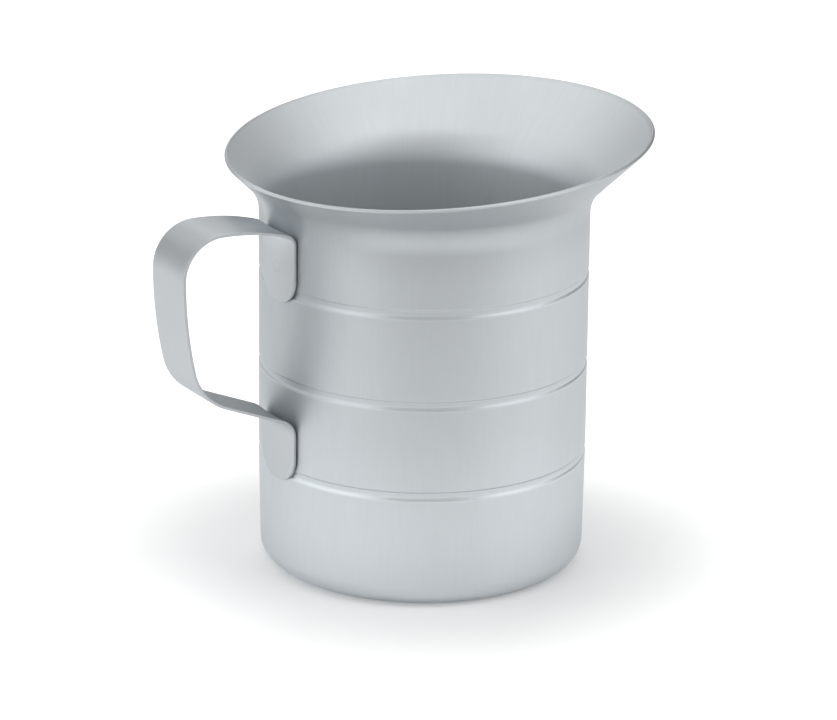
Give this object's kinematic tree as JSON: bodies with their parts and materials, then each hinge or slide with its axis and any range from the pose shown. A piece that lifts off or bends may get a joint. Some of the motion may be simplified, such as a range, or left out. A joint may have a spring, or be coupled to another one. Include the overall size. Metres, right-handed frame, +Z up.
{
  "type": "wax melting and pouring pot",
  "caption": "Straight-sided aluminium melting pot with pressed ring grooves, a tilted flared pouring mouth and a spot-welded strap handle.",
  "frame": {"origin": "centre of the pot's flat underside, on the pot's axis", "axes": "+Z up along the pot's axis; the handle is toward -X, and the rim's high, pouring side is toward +X"},
  "size_m": [0.2044, 0.1684, 0.177],
  "materials": {
    "pot_aluminium": "satin, spun and drawn sheet, uncoated",
    "strap_aluminium": "satin strip with cut edges, uncoated",
    "weld_aluminium": "as welded, slightly dull"
  },
  "bodies": {
    "root": {"pot_body": "pot_aluminium", "handle_strap": "strap_aluminium", "upper_weld": "weld_aluminium", "lower_weld": "weld_aluminium"}
  },
  "joints": []
}
